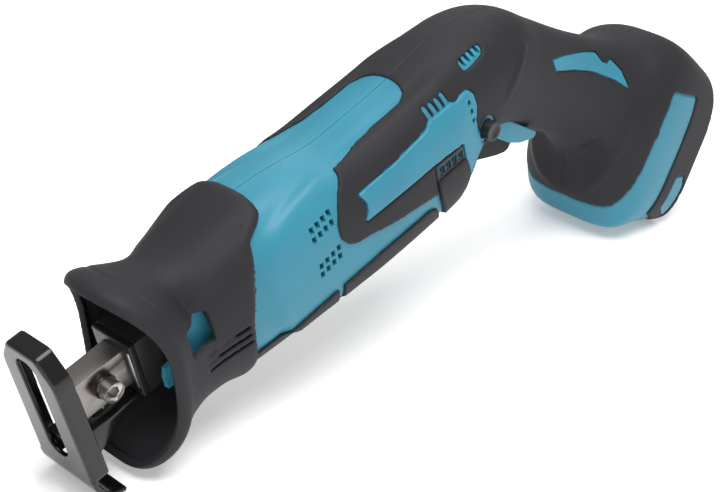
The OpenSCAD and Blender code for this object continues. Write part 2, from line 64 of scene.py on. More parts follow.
class SawSizes(bpy.types.PropertyGroup):
    """Sizes of the moulded parts, in pattern millimetres."""

    wall: FloatProperty(name="Wall", description="Wall of the housing halves", default=2.6)
    skin: FloatProperty(name="Rubber", description="How far the rubber stands out", default=1.1)
    sunk: FloatProperty(name="Sunk", description="How deep a skin is let into the wall", default=0.9)
    seam: FloatProperty(name="Seam", description="Half the gap between the halves", default=0.14)
    cell: FloatProperty(name="Cell", description="Cell size of the moulded rubber", default=0.78)
    boot_wall: FloatProperty(name="Boot wall", description="Wall of the front boot", default=3.4)
    shoe: FloatProperty(name="Shoe steel", description="Thickness of the shoe", default=2.2)
    around: IntProperty(name="Around", description="Points round the housing", default=112)
    along: IntProperty(name="Along", description="Rings between two sections", default=11)


def colour(name, use, value):
    """A colour setting."""
    return FloatVectorProperty(name=name, description=use, subtype="COLOR", size=3, default=value)


class SawColours(bpy.types.PropertyGroup):
    """Colours of the finishes."""

    teal: colour("Teal", "Housing plastic", (0.028, 0.190, 0.268))
    rubber: colour("Rubber", "Grips and boot", (0.0165, 0.0165, 0.0195))
    black: colour("Black", "Hard black plastic", (0.009, 0.009, 0.010))
    paint: colour("Shoe paint", "Gloss paint on the shoe", (0.003, 0.003, 0.0035))
    steel: colour("Steel", "Brushed slider bar", (0.22, 0.205, 0.195))
    bright: colour("Bright steel", "Screws and shafts", (0.42, 0.41, 0.40))
    bronze: colour("Bronze", "Guides", (0.50, 0.30, 0.12))
    copper: colour("Copper", "Windings and commutator", (0.60, 0.20, 0.08))
    board: colour("Board", "Control board", (0.01, 0.12, 0.04))


# ---- the pattern's place in the frame ----

def pattern_frame():
    """Matrix from the pattern, in millimetres, to the row frame, in metres."""
    joints = {j["name"]: j for j in frame["joints"]}
    forward = Vector(joints["slider_stroke"]["axis"]).normalized()
    up = Vector(joints["crank_spin"]["axis"]).normalized()
    left = up.cross(forward)
    axes = Matrix((forward, left, up)).transposed().to_4x4()
    crank = Vector(joints["crank_spin"]["pos_m"])
    turn = axes @ Matrix.Scale(REAL_SIZE / 1000, 4)
    return Matrix.Translation(crank - turn @ CRANK) @ turn


REAL_SIZE = 0.86
LEAN = math.sqrt(0.5)
CRANK = Vector((-92, 0, -15))
TO_ROW = pattern_frame()


def handle(across, along, y=0.0):
    """A point from its place across and along the leaning handle."""
    return Vector((-(across + along) * LEAN, y, (across - along) * LEAN))


def handle_xz(*points):
    """Side view points from pairs of across and along."""
    return [(handle(a, b).x, handle(a, b).z) for a, b in points]


# ---- mesh helpers ----

def smoothstep(low, high, value):
    t = min(1.0, max(0.0, (value - low) / (high - low)))
    return t * t * (3 - 2 * t)


def between(rows, s):
    """A smooth curve through the rows of a table, read at s."""
    i = min(int(s), len(rows) - 2)
    t = s - i
    a, b, c, d = (rows[min(max(i + k, 0), len(rows) - 1)] for k in (-1, 0, 1, 2))
    return [
        q + 0.5 * t * (r - p + t * (2 * p - 5 * q + 4 * r - w + t * (3 * (q - r) + w - p)))
        for p, q, r, w in zip(a, b, c, d)
    ]


def loft(stations, place, segments, capped=True):
    """A skin: one ring of points drawn out through the stations, closed at both ends if capped."""
    bm = bmesh.new()
    turn = bm.verts.layers.float.new("turn")
    ring = bmesh.ops.create_circle(bm, segments=segments, radius=1)["verts"]
    for v in ring:
        v[turn] = math.degrees(math.atan2(v.co.y, v.co.x))
        v.co = place(stations[0], v[turn])
    edges = bm.edges[:]
    if capped:
        bmesh.ops.contextual_create(bm, geom=edges)
    for s in stations[1:]:
        made = bmesh.ops.extrude_edge_only(bm, edges=edges)["geom"]
        ring = {g for g in made if isinstance(g, bmesh.types.BMVert)}
        for v in ring:
            v.co = place(s, v[turn])
        edges = [g for g in made if isinstance(g, bmesh.types.BMEdge) and ring.issuperset(g.verts)]
    if capped:
        bmesh.ops.contextual_create(bm, geom=edges)
    bmesh.ops.recalc_face_normals(bm, faces=bm.faces[:])
    return bm


def outline(points, corner=0.0, steps=4):
    """One flat face in the side view, with its corners rounded."""
    bm = bmesh.new()
    bm.faces.new([bm.verts.new((x, 0, z)) for x, z in points])
    if corner:
        bmesh.ops.bevel(bm, geom=bm.verts[:], offset=corner, segments=steps, profile=0.5,
                        affect="VERTICES", material=-1, clamp_overlap=True)
    return bm


def drawn(bm, start, end):
    """The flat faces of bm, moved to start and drawn out to end, as a closed solid."""
    bmesh.ops.translate(bm, verts=bm.verts[:], vec=start)
    made = bmesh.ops.extrude_face_region(bm, geom=bm.faces[:])["geom"]
    bmesh.ops.translate(bm, verts=[g for g in made if isinstance(g, bmesh.types.BMVert)],
                        vec=Vector(end) - Vector(start))
    bmesh.ops.recalc_face_normals(bm, faces=bm.faces[:])
    return bm


def side_prism(points, y0, y1, corner=0.0):
    """A prism across the tool with a side view outline."""
    return drawn(outline(points, corner), (0, y0, 0), (0, y1, 0))


def top_prism(points, z0, z1, corner=0.0):
    """An upright prism with a plan outline."""
    bm = outline(points, corner)
    bmesh.ops.rotate(bm, verts=bm.verts[:], cent=(0, 0, 0),
                     matrix=Matrix.Rotation(math.radians(-90), 3, "X"))
    return drawn(bm, (0, 0, z0), (0, 0, z1))


def block(low, high):
    """A box from its two corners."""
    bm = bmesh.new()
    low, high = Vector(low), Vector(high)
    bmesh.ops.create_cube(bm, size=1)
    bmesh.ops.scale(bm, verts=bm.verts[:], vec=high - low)
    bmesh.ops.translate(bm, verts=bm.verts[:], vec=(low + high) / 2)
    return bm


def rod(radius, start, end, segments=40, radius_end=None):
    """A round bar between two points."""
    bm = bmesh.new()
    start, end = Vector(start), Vector(end)
    axis = end - start
    bmesh.ops.create_cone(bm, cap_ends=True, segments=segments, radius1=radius,
                          radius2=radius if radius_end is None else radius_end, depth=axis.length)
    turn = axis.to_track_quat("Z", "Y").to_matrix().to_4x4()
    bm.transform(Matrix.Translation((start + end) / 2) @ turn)
    return bm


def joined(*parts):
    """Several solids in one mesh."""
    bm = bmesh.new()
    for part in parts:
        mesh = bpy.data.meshes.new("part")
        part.to_mesh(mesh)
        part.free()
        bm.from_mesh(mesh)
        bpy.data.meshes.remove(mesh)
    return bm


def mirrored(bm):
    """A copy of bm on the other side of the parting plane."""
    copy = bm.copy()
    bmesh.ops.scale(copy, verts=copy.verts[:], vec=(1, -1, 1))
    bmesh.ops.reverse_faces(copy, faces=copy.faces[:])
    return copy


def rounded(bm, size, angle=40, segments=3):
    """Bevels every edge that turns more than the angle."""
    limit = math.radians(angle)
    edges = [e for e in bm.edges if len(e.link_faces) == 2 and e.calc_face_angle(0) > limit]
    bmesh.ops.bevel(bm, geom=edges, offset=size, segments=segments, profile=0.5,
                    affect="EDGES", material=-1, clamp_overlap=True)
    return bm


def temporary(name, bm):
    mesh = bpy.data.meshes.new(name)
    bm.to_mesh(mesh)
    bm.free()
    thing = bpy.data.objects.new(name, mesh)
    bpy.context.scene.collection.objects.link(thing)
    return thing


def carved(bm, steps, cell=0.0, ease=0):
    """bm after a row of boolean steps, then, if cell is set, remoulded with soft edges."""
    base = temporary("base", bm)
    tools = []
    for operation, tool in steps:
        tools.append(temporary("tool", tool))
        cut = base.modifiers.new("cut", "BOOLEAN")
        cut.operation, cut.object, cut.solver = operation, tools[-1], "MANIFOLD"
    if cell:
        remesh = base.modifiers.new("mould", "REMESH")
        remesh.mode, remesh.voxel_size = "VOXEL", cell
    if ease:
        smooth = base.modifiers.new("ease", "SMOOTH")
        smooth.factor, smooth.iterations = 0.5, ease
    graph = bpy.context.evaluated_depsgraph_get()
    mesh = bpy.data.meshes.new_from_object(base.evaluated_get(graph))
    result = bmesh.new()
    result.from_mesh(mesh)
    for thing in [base, *tools]:
        bpy.data.meshes.remove(thing.data)
    bpy.data.meshes.remove(mesh)
    if not result.faces:
        raise RuntimeError("a boolean step left nothing")
    return result


def less(*cutters):
    """Boolean steps that take each cutter away."""
    return [("DIFFERENCE", cutter) for cutter in cutters]


def piece(name, bm, material, body, nodes=(), sharp=35):
    """Brings a finished bmesh to the row frame as one object that rides on its body."""
    bmesh.ops.remove_doubles(bm, verts=bm.verts[:], dist=0.0005)
    bm.transform(TO_ROW)
    mesh = bpy.data.meshes.new(name)
    for face in bm.faces:
        face.smooth = True
    bm.to_mesh(mesh)
    bm.free()
    mesh.set_sharp_from_angle(angle=math.radians(sharp))
    mesh.materials.append(material)
    made = bpy.data.objects.new(name, mesh)
    bpy.context.scene.collection.objects.link(made)
    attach(made, body)
    if nodes:
        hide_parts(*nodes)
    return made


# ---- materials ----

def node_group(name, inputs, outputs):
    """An empty shader group with its named sockets, and its input and output nodes."""
    group = bpy.data.node_groups.new(name, "ShaderNodeTree")
    for label, value in inputs:
        socket = group.interface.new_socket(name=label, in_out="INPUT", socket_type="NodeSocketFloat")
        socket.default_value = value
    for label in outputs:
        group.interface.new_socket(name=label, in_out="OUTPUT", socket_type="NodeSocketFloat")
    return group, group.nodes.new("NodeGroupInput"), group.nodes.new("NodeGroupOutput")


def maths(tree, operation, first, second):
    """A Math node fed by sockets or numbers; returns its output."""
    node = tree.nodes.new("ShaderNodeMath")
    node.operation = operation
    for socket, value in zip(node.inputs, (first, second)):
        if isinstance(value, (int, float)):
            socket.default_value = value
        else:
            tree.links.new(value, socket)
    return node.outputs[0]


def noise(tree, vector, scale, detail=2.0):
    """A noise texture; returns its value."""
    node = tree.nodes.new("ShaderNodeTexNoise")
    node.inputs["Detail"].default_value = detail
    tree.links.new(vector, node.inputs["Vector"])
    if isinstance(scale, (int, float)):
        node.inputs["Scale"].default_value = scale
    else:
        tree.links.new(scale, node.inputs["Scale"])
    return node.outputs["Fac"]


def grain_group():
    """Moulded grain: a fine spark-eroded height and a slow drift of tone."""
    group, given, out = node_group("mould_grain", [("Scale", 2500.0)], ["Height", "Tone"])
    where = group.nodes.new("ShaderNodeTexCoord").outputs["Object"]
    cells = group.nodes.new("ShaderNodeTexVoronoi")
    group.links.new(where, cells.inputs["Vector"])
    group.links.new(given.outputs["Scale"], cells.inputs["Scale"])
    fine = noise(group, where, given.outputs["Scale"], 3.0)
    height = maths(group, "ADD", cells.outputs["Distance"], fine)
    group.links.new(maths(group, "MULTIPLY", height, 0.5), out.inputs["Height"])
    group.links.new(noise(group, where, 38.0, 4.0), out.inputs["Tone"])
    return group


def brush_group():
    """Fine lines drawn along the bar, uneven in depth."""
    group, given, out = node_group("brushed_lines", [("Scale", 900.0)], ["Height", "Tone"])
    where = group.nodes.new("ShaderNodeTexCoord").outputs["Object"]
    turn = group.nodes.new("ShaderNodeMapping")
    turn.inputs["Rotation"].default_value = (0, -math.atan2(TO_ROW[2][0], TO_ROW[0][0]), 0)
    group.links.new(where, turn.inputs["Vector"])
    stretch = group.nodes.new("ShaderNodeMapping")
    stretch.inputs["Scale"].default_value = (0.035, 1.0, 1.0)
    group.links.new(turn.outputs[0], stretch.inputs["Vector"])
    lines = noise(group, stretch.outputs[0], given.outputs["Scale"], 5.0)
    group.links.new(lines, out.inputs["Height"])
    group.links.new(noise(group, where, 60.0), out.inputs["Tone"])
    return group


def wear_group():
    """A mask of the outer edges, broken up by noise."""
    group, given, out = node_group("edge_wear", [("Amount", 0.5)], ["Mask"])
    where = group.nodes.new("ShaderNodeTexCoord").outputs["Object"]
    edge = group.nodes.new("ShaderNodeNewGeometry").outputs["Pointiness"]
    rise = maths(group, "MULTIPLY", maths(group, "SUBTRACT", edge, 0.515), 12.0)
    broken = maths(group, "MULTIPLY", rise, maths(group, "ADD", noise(group, where, 700.0, 4.0), 0.2))
    mask = group.nodes.new("ShaderNodeClamp")
    group.links.new(maths(group, "MULTIPLY", broken, given.outputs["Amount"]), mask.inputs[0])
    group.links.new(mask.outputs[0], out.inputs["Mask"])
    return group


def dust_group():
    """Faint specks and handling marks."""
    group, given, out = node_group("handling", [("Amount", 0.3)], ["Mask"])
    where = group.nodes.new("ShaderNodeTexCoord").outputs["Object"]
    patch = maths(group, "SUBTRACT", noise(group, where, 26.0, 6.0), 0.48)
    speck = maths(group, "GREATER_THAN", noise(group, where, 1900.0, 1.0), 0.68)
    mask = group.nodes.new("ShaderNodeClamp")
    both = maths(group, "ADD", maths(group, "MULTIPLY", patch, 3.0), maths(group, "MULTIPLY", speck, 0.5))
    group.links.new(maths(group, "MULTIPLY", both, given.outputs["Amount"]), mask.inputs[0])
    group.links.new(mask.outputs[0], out.inputs["Mask"])
    return group


def blended(tree, factor, first, second):
    """A colour mix; each colour is a triple or a socket."""
    node = tree.nodes.new("ShaderNodeMix")
    node.data_type = "RGBA"
    tree.links.new(factor, node.inputs["Factor"])
    for socket, value in ((node.inputs[6], first), (node.inputs[7], second)):
        if isinstance(value, tuple):
            socket.default_value = (*value, 1.0)
        else:
            tree.links.new(value, socket)
    return node.outputs[2]


def placed(tree, group, value):
    """A group node with its single input set."""
    node = tree.nodes.new("ShaderNodeGroup")
    node.node_tree = group
    node.inputs[0].default_value = value
    return node


class Finishes:
    """The saw's materials, made once and shared by the pieces."""

    def __init__(self):
        colours = bpy.context.scene.saw_colours
        self.grain, self.brush = grain_group(), brush_group()
        self.wear, self.dust = wear_group(), dust_group()
        self.made = {}
        teal, rubber, black = (tuple(c) for c in (colours.teal, colours.rubber, colours.black))
        self.teal = self.material("teal_moulded", teal, 0.42, 2600, 0.000035, wear=0.35, spread=0.16)
        self.rubber = self.material("soft_rubber", rubber, 0.62, 1900, 0.00006, wear=0.1, dust=0.30,
                                    spread=0.3, gloss=0.22)
        self.black = self.material("black_moulded", black, 0.36, 2600, 0.00003, wear=0.5)
        self.paint = self.material("gloss_paint", tuple(colours.paint), 0.24, 520, 0.00003, wear=0.5,
                                   coat=0.2)
        self.steel = self.material("brushed_steel", tuple(colours.steel), 0.38, 1500, 0.00002,
                                   metal=1.0, brushed=True)
        self.bright = self.material("bright_steel", tuple(colours.bright), 0.32, 1400, 0.00001, metal=1.0)
        # Dark brown steel for the clamp collar: the brown darkness is painted shade, standing for the shadow
        # side of the collar rather than a blackened finish.
        self.shaded_collar_steel = self.material("collar_steel_painted_shade", (0.10, 0.075, 0.07), 0.35, 1400, 0.00002,
                                        metal=1.0)
        self.bronze = self.material("bronze", tuple(colours.bronze), 0.38, 1500, 0.00002, metal=1.0)
        self.copper = self.material("copper", tuple(colours.copper), 0.34, 2200, 0.00005, metal=1.0,
                                    brushed=True)
        self.cast = self.material("die_cast", (0.42, 0.42, 0.44), 0.5, 1200, 0.00006, metal=1.0)
        self.core = self.material("core_steel", (0.20, 0.20, 0.21), 0.45, 3000, 0.00005, metal=1.0,
                                  brushed=True)
        self.board = self.material("board_green", tuple(colours.board), 0.3, 900, 0.00003, coat=0.4)
        self.carbon = self.material("carbon", (0.02, 0.02, 0.022), 0.7, 2500, 0.00005)

    def material(self, name, colour, rough, scale, depth, wear=0.3, dust=0.15, metal=0.0, coat=0.0,
                 spread=0.2, brushed=False, gloss=0.3):
        """A Principled material with grain, a drift of tone, worn edges and handling marks."""
        material = bpy.data.materials.new(name)
        material.use_nodes = True
        tree = material.node_tree
        shader = tree.nodes["Principled BSDF"]
        shader.inputs["Metallic"].default_value = metal
        shader.inputs["Coat Weight"].default_value = coat
        shader.inputs["Specular IOR Level"].default_value = gloss
        shader.inputs["Coat Roughness"].default_value = 0.06
        grain = placed(tree, self.brush if brushed else self.grain, scale)
        darker = tuple(c * (1 - spread) for c in colour)
        lighter = tuple(min(1.0, c * (1 + spread)) for c in colour)
        base = blended(tree, grain.outputs["Tone"], darker, lighter)
        if brushed:
            base = blended(tree, grain.outputs["Height"], base, lighter)
        worn = tuple(min(1.0, c * 1.5 + 0.03) for c in colour)
        base = blended(tree, placed(tree, self.wear, wear).outputs["Mask"], base, worn)
        marks = placed(tree, self.dust, dust).outputs["Mask"]
        base = blended(tree, marks, base, tuple(min(1.0, c * 1.25 + 0.012) for c in colour))
        tree.links.new(base, shader.inputs["Base Color"])
        soft = maths(tree, "ADD", maths(tree, "MULTIPLY", grain.outputs["Tone"], 0.18), rough - 0.09)
        soft = maths(tree, "ADD", soft, maths(tree, "MULTIPLY", marks, 0.12))
        tree.links.new(soft, shader.inputs["Roughness"])
        bump = tree.nodes.new("ShaderNodeBump")
        bump.inputs["Strength"].default_value = 0.6
        bump.inputs["Distance"].default_value = depth
        tree.links.new(grain.outputs["Height"], bump.inputs["Height"])
        tree.links.new(bump.outputs["Normal"], shader.inputs["Normal"])
        return material


def finishes():
    """The shared materials."""
    if "set" not in _shared:
        _shared["set"] = Finishes()
    return _shared["set"]


_shared = {}


# ---- the housing's shape ----

# Sections from the boot to the foot: top point and bottom point in the side view, half width,
# and how square the corners are.
BODY = [
    (-72.6, 37.6, -43.0, -35.8, 27.3, 2.9, 2.9),
    (-98.0, 35.6, -90.0, -39.5, 29.2, 2.6, 2.6),
    (-123.0, 32.0, -120.0, -40.5, 30.0, 2.6, 2.6),
    (-150.0, 33.0, -150.0, -40.0, 30.0, 2.6, 2.6),
    (-176.0, 34.8, -178.0, -38.0, 29.0, 2.6, 2.6),
    (-206.0, 38.0, -196.0, -31.0, 28.0, 2.5, 2.5),
    (-232.0, 35.5, -206.0, -24.0, 27.0, 2.4, 2.4),
    (-251.0, 27.0, -217.0, -20.5, 25.5, 2.3, 2.3),
]
# The handle and the foot, in places across and along the handle.
for top, bottom, half, power, upper in (
        ((198, 181), (143, 185), 22.0, 2.2, 2.2), ((200, 215), (149, 215), 19.5, 2.2, 2.2),
        ((203, 241), (151, 240), 20.0, 2.2, 2.2), ((206, 257), (148, 256), 22.5, 2.3, 2.3),
        ((210, 268), (140, 266), 27.0, 2.5, 2.5), ((214, 277), (130, 275), 32.5, 2.9, 2.9),
        ((217.5, 286), (120.5, 284), 36.2, 3.4, 3.0), ((220, 297), (113, 296), 38.0, 4.0, 3.0),
        ((219.5, 311), (119, 311), 38.0, 4.5, 3.0), ((215, 334), (126, 334), 37.5, 5.0, 3.0)):
    a, b = handle(*top), handle(*bottom)
    BODY.append((a.x, a.z, b.x, b.z, half, power, upper))

# The raised side of the gear housing, in the side view.
BULGE = [(-120, 36), (-112, 31.8), (-102, 31.0), (-86, 30.0), (-75, 27.5), (-67.5, 21.5), (-63, 12),
         (-61.5, 3), (-61, -8), (-63, -16), (-72, -27), (-240, -27), (-240, 36)]
BULGE_HEIGHT = 2.4
# How far the crease line behind the motor stands out, how deep the hollow before the handle's
# base is, and how far the lip beside that hollow stands out.
CREASE, HOLLOW, LIP = 0.9, 4.6, 1.6


def inside(points, x, z):
    """Distance to an outline, positive inside it."""
    nearest, within = 1e9, False
    for (ax, az), (bx, bz) in zip(points, points[1:] + points[:1]):
        dx, dz = bx - ax, bz - az
        t = max(0.0, min(1.0, ((x - ax) * dx + (z - az) * dz) / (dx * dx + dz * dz)))
        nearest = min(nearest, math.hypot(x - ax - t * dx, z - az - t * dz))
        if (az > z) != (bz > z) and x < ax + (z - az) * dx / dz:
            within = not within
    return nearest if within else -nearest


def bell(value, middle, width):
    """A smooth bump of height one."""
    return math.exp(-((value - middle) / width) ** 2)


def relief(x, y, z, turn):
    """What the housing's surface adds to its sections: the raised side, the crease behind the
    motor, and the hollow and lip in front of the handle's base."""
    side = smoothstep(18, 34, turn)
    out = 0.0
    if x > -212:
        out += BULGE_HEIGHT * side * smoothstep(-1.9, 1.9, inside(BULGE, x, z)) * smoothstep(-208, -180, x)
    across, along = (z - x) * LEAN, -(x + z) * LEAN
    if along > 120:
        crease = math.hypot(max(0.0, abs(across - 172) - 12), along - 156 - 0.14 * (across - 172))
        out += CREASE * bell(crease, 0, 2.4) * side
        front = smoothstep(70, 120, turn)
        out -= HOLLOW * front * bell(along, 267 - 0.012 * y * y, 6.5) * smoothstep(160, 150, across)
        out += LIP * front * bell(along, 277.5 - 0.012 * y * y, 2.6)
    return out


def body_point(s, angle, d, table=BODY, shape=relief):
    """A point of the housing's surface at station s, turned by angle from the top, d outside it."""
    x1, z1, x0, z0, half, power, upper = between(table, s)[:7]
    turn = math.radians(angle)
    sin, cos = math.sin(turn), math.cos(turn)
    e = 2 / (upper if cos > 0 else power)
    rise = Vector((x1 - x0, 0, z1 - z0)) / 2
    middle = Vector((x1 + x0, 0, z1 + z0)) / 2
    side = math.copysign(abs(sin) ** e, sin)
    up = math.copysign(abs(cos) ** e, cos)
    base = middle + rise * up
    d += shape(base.x, half * side, base.z, abs(angle))
    return middle + rise.normalized() * (rise.length + d) * up + Vector((0, (half + d) * side, 0))


BOW = 10.0


def swept(turn):
    """How far the joint between the boot and the housing bows forward on each side."""
    return BOW * smoothstep(26, 46, turn) * (1 - smoothstep(75, 135, turn))


_bodies = {}


def body(d, ends=0.0):
    """The whole housing as one closed solid with its surface moved out by d; ends lengthens it."""
    key = (d, ends)
    if key not in _bodies:
        sizes = bpy.context.scene.saw_sizes
        last = len(BODY) - 1
        count = last * sizes.along
        stations = [last * i / count for i in range(count + 1)]
        if ends:
            stations = [-1.0, *stations, last + 1.0]

        def spot(s, angle):
            bow = swept(abs(angle)) * (1 - smoothstep(0, 1.2, s))
            at = body_point(min(max(s, 0), last), angle, d,
                            shape=lambda x, y, z, turn: relief(x + bow, y, z, turn))
            beyond = Vector((ends, 0, 0)) if s < 0 else handle(0, ends) if s > last else Vector()
            return at + Vector((bow, 0, 0)) + beyond

        _bodies[key] = loft(stations, spot, sizes.around)
    return _bodies[key].copy()


# ---- side view outlines ----

# Rubber of the left half: beside the motor, over the hump and the handle, and round the foot.
GRIP = [
    (-116.4, 60), (-116.4, 28.0), (-111.2, 24), (-107.8, 20.2), (-103.8, 12.5), (-103.6, 5.5), (-107.0, 0.2),
    (-111.5, -2.4), (-119.5, -3.6), (-136, -7.2), (-149, -9.6), (-168, -12.5), (-186, -8),
    (-199, -4), (-206, -13.5), (-213.5, -15.0), *handle_xz((148.5, 176), (148.2, 206)),
    *handle_xz((140, 209), (120, 214), (98, 250), (98, 257.5), (124.5, 284), (150, 285.2),
               (180, 286), (194.6, 287.2), (197.5, 310.8), (160, 311.3), (129, 311.6), (124.2, 336),
               (124, 350), (260, 350), (260, 160)),
    (-220, 80),
]
# The end of the teal housing on top, seen from above.
TONGUE = [(-60, -30), (-60, 30), (-100, 24), (-113, 20.6), (-124.3, 18.7), (-134, 16.4), (-147.5, 15.2),
          (-165, 15), (-170.8, 12.6), (-173.6, 7.5), (-174.6, 0), (-173.6, -7.5), (-170.8, -12.6),
          (-165, -15), (-147.5, -15.2), (-134, -16.4), (-124.3, -18.7), (-113, -20.6), (-100, -24)]
# The teal panel on the side, with the notch at its front end.
PANEL = [
    (-119.6, 18.2), (-128.1, 18.8), (-141.6, 19.2), (-156.1, 20.7), (-166.3, 21.8), (-169.6, 24.0),
    (-185.3, 24.6), (-187.6, 23.2), (-193.9, 24.3), (-197.6, 23.6), (-199.9, 20.5), (-199.9, 14.5),
    (-197.2, 8.2), (-197.6, 0.6), (-203.4, -8.4), (-196, -13.4), (-193, -23.0), (-188.6, -23.5),
    (-185.2, -10), (-184.4, 3.6), (-166.4, 5.0), (-138.4, 5.1), (-118.6, 5.0), (-121.3, 9.0),
    (-121.9, 13.2), (-120.6, 15.8),
]
# The hard black cover under the side panel, which stands out from the housing.
LUMP = [(-164.4, -5.2), (-165.4, -16), (-169.5, -29.5), (-174, -33), (-186.5, -25.5), (-188.8, -18),
        (-185.6, -5.2)]
VENT = [(-164.8, 3.9), (-185.0, 2.8), (-185.4, -5.6), (-164.6, -5.6)]
INLAY = [(-265.3, -4.2), (-277.5, -9.9), (-294.7, -19.4), (-305.2, -26.2), (-306.4, -31.8), (-310.4, -35.2),
         (-314.4, -35.4), (-317.6, -43.0), (-317.2, -52.6), (-310.6, -43.9), (-295.9, -30.2),
         (-282.3, -20.6), (-266.0, -10.8)]
BAND = handle_xz((98, 258), (124.3, 284.5), (150, 285.7), (180, 286.5), (194, 287.7), (197, 310.4),
                 (160, 310.6), (128.4, 311.0), (123.6, 336), (98, 336))
BADGE = handle_xz((130.5, 330.6), (134.5, 321.0), (153.0, 321.2), (155.0, 327.6), (150.0, 331.6))
CHEEK = handle_xz((150, 168), (149.5, 204), (146, 203.5), (141.5, 194), (139.8, 186), (139.8, 171))
UNDER_FRONT = [(-40, -24), (-68, -24), (-83, -21.5), (-97.5, -19.8), (-97.8, -46), (-40, -60)]
UNDER_REAR = [(-100.6, -19.4), (-122, -17.4), (-157.5, -17.2), (-163, -20), (-166, -30), (-166, -60),
              (-100.6, -60)]
LOCK = Vector((-205, 0, -3))
LOCK_RADIUS = 4.7
TRIGGER_MOUTH = [(110, 172.5), (110, 201.5), (152, 201.5), (152, 172.5)]
# The screw wells of the right half: place in the side view and how far in each starts.
SCREWS = [(-75, 26, 16.8), (-128, 23, 13.8), (-186, 26, 14.2), (-128, -31, 14.2),
          (*handle_xz((178, 238))[0], 14.8), (*handle_xz((205, 318))[0], 29.8)]
# Half the width of the trigger's mouth, and a distance past every side.
MOUTH, FAR = 10.5, 60.0


def grown(points, size):
    """The outline moved outwards by size, corner by corner."""
    area = sum(a[0] * b[1] - b[0] * a[1] for a, b in zip(points, points[1:] + points[:1]))
    side = size if area > 0 else -size
    out = []
    for before, at, after in zip(points[-1:] + points[:-1], points, points[1:] + points[:1]):
        one = (Vector(at) - Vector(before)).normalized()
        two = (Vector(after) - Vector(at)).normalized()
        normal = (Vector((one.y, -one.x)) + Vector((two.y, -two.x)))
        normal = normal.normalized() / max(0.5, normal.normalized().dot(Vector((one.y, -one.x))))
        out.append((at[0] + normal.x * side, at[1] + normal.y * side))
    return out


def skin(points, out, cell, corner=0.8, cuts=(), near=None, ease=4):
    """A moulded skin of the left half inside an outline, let into the wall and standing out of it."""
    sizes = bpy.context.scene.saw_sizes
    near = sizes.seam if near is None else near
    within = ("INTERSECT", side_prism(points, near, FAR, corner))
    return carved(body(out), [within, *less(body(-sizes.sunk, ends=4.0), *cuts)], cell, ease)


# How far from the parting plane the cutters of slots and pockets start.
SLOT_FROM = 4.0


def slot_cut(x, z, length, height, lean=0.0):
    """A cutter across the left wall: a small slot centred at x, z in the side view."""
    bm = block((-length / 2, SLOT_FROM, -height / 2), (length / 2, FAR, height / 2))
    bmesh.ops.rotate(bm, verts=bm.verts[:], cent=(0, 0, 0),
                     matrix=Matrix.Rotation(math.radians(lean), 3, "Y"))
    bmesh.ops.translate(bm, verts=bm.verts[:], vec=(x, 0, z))
    return bm


def vent_cuts():
    """The two grids of square air holes in the side of the gear housing."""
    cuts = []
    for x0, z0, step_x, step_z in ((-91.0, 18.2, -3.75, 0.55), (-90.4, -0.4, -3.7, 0.85)):
        for column in range(4):
            for row in range(2):
                cuts.append(slot_cut(x0 + step_x * column + 0.35 * row, z0 + step_z * column - 4.5 * row,
                                     2.3, 3.1, lean=-6))
    return cuts


LOUVRES_FRONT = [(-171.6 - 3.9 * i, 26.9 + 0.22 * i) for i in range(4)]
LOUVRES_REAR = [(-204.2 - 3.6 * i, 31.9 + 0.1 * i) for i in range(4)]
REAR_POCKET = [(-201.6, 33.6), (-201.4, 30.0), (-204, 29.2), (-214.6, 30.0), (-217.6, 31.4), (-217.6, 34.0)]
PANEL_SLOTS = [(-195.3, 18.3), (-195.5, 13.7), (-195.4, 9.0)]
REAR_VENTS = [(-168.6 - 4.4 * i, -0.9 - 0.15 * i) for i in range(4)]


# ---- operators ----

# Where the neck ends in the side view: a plate behind the boot's window and a lug below it.
NECK_END = [(-120, -60), (-34, -60), (-30, -14.5), (-9, -14.5), (-8.5, -8), (-10, -3), (-21, -1),
            (-21, 19), (-34, 22), (-36, 60), (-120, 60)]


